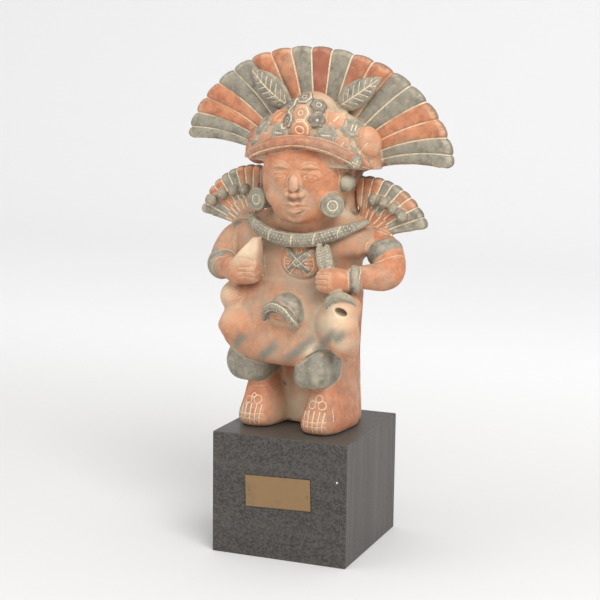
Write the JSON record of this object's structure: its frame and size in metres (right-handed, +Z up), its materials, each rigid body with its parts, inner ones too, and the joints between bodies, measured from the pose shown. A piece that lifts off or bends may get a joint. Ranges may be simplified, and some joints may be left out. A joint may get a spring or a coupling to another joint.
{
  "type": "aztec god statue",
  "caption": "Fired-clay seated god with a feather fan headdress and shoulder fans, on a square timber plinth with a blank brass plate.",
  "frame": {"origin": "centre of the plinth's underside", "axes": "+Z up, the figure and the plate face -Y, +X to the right as seen from the front"},
  "size_m": [0.3241, 0.1647, 0.5469],
  "materials": {
    "timber": "satin",
    "clay": "matte",
    "brass": "satin"
  },
  "bodies": {
    "root": {"plinth": "timber", "statue": "clay", "nameplate": "brass", "nameplate_pin_left": "brass", "nameplate_pin_right": "brass"}
  },
  "joints": []
}
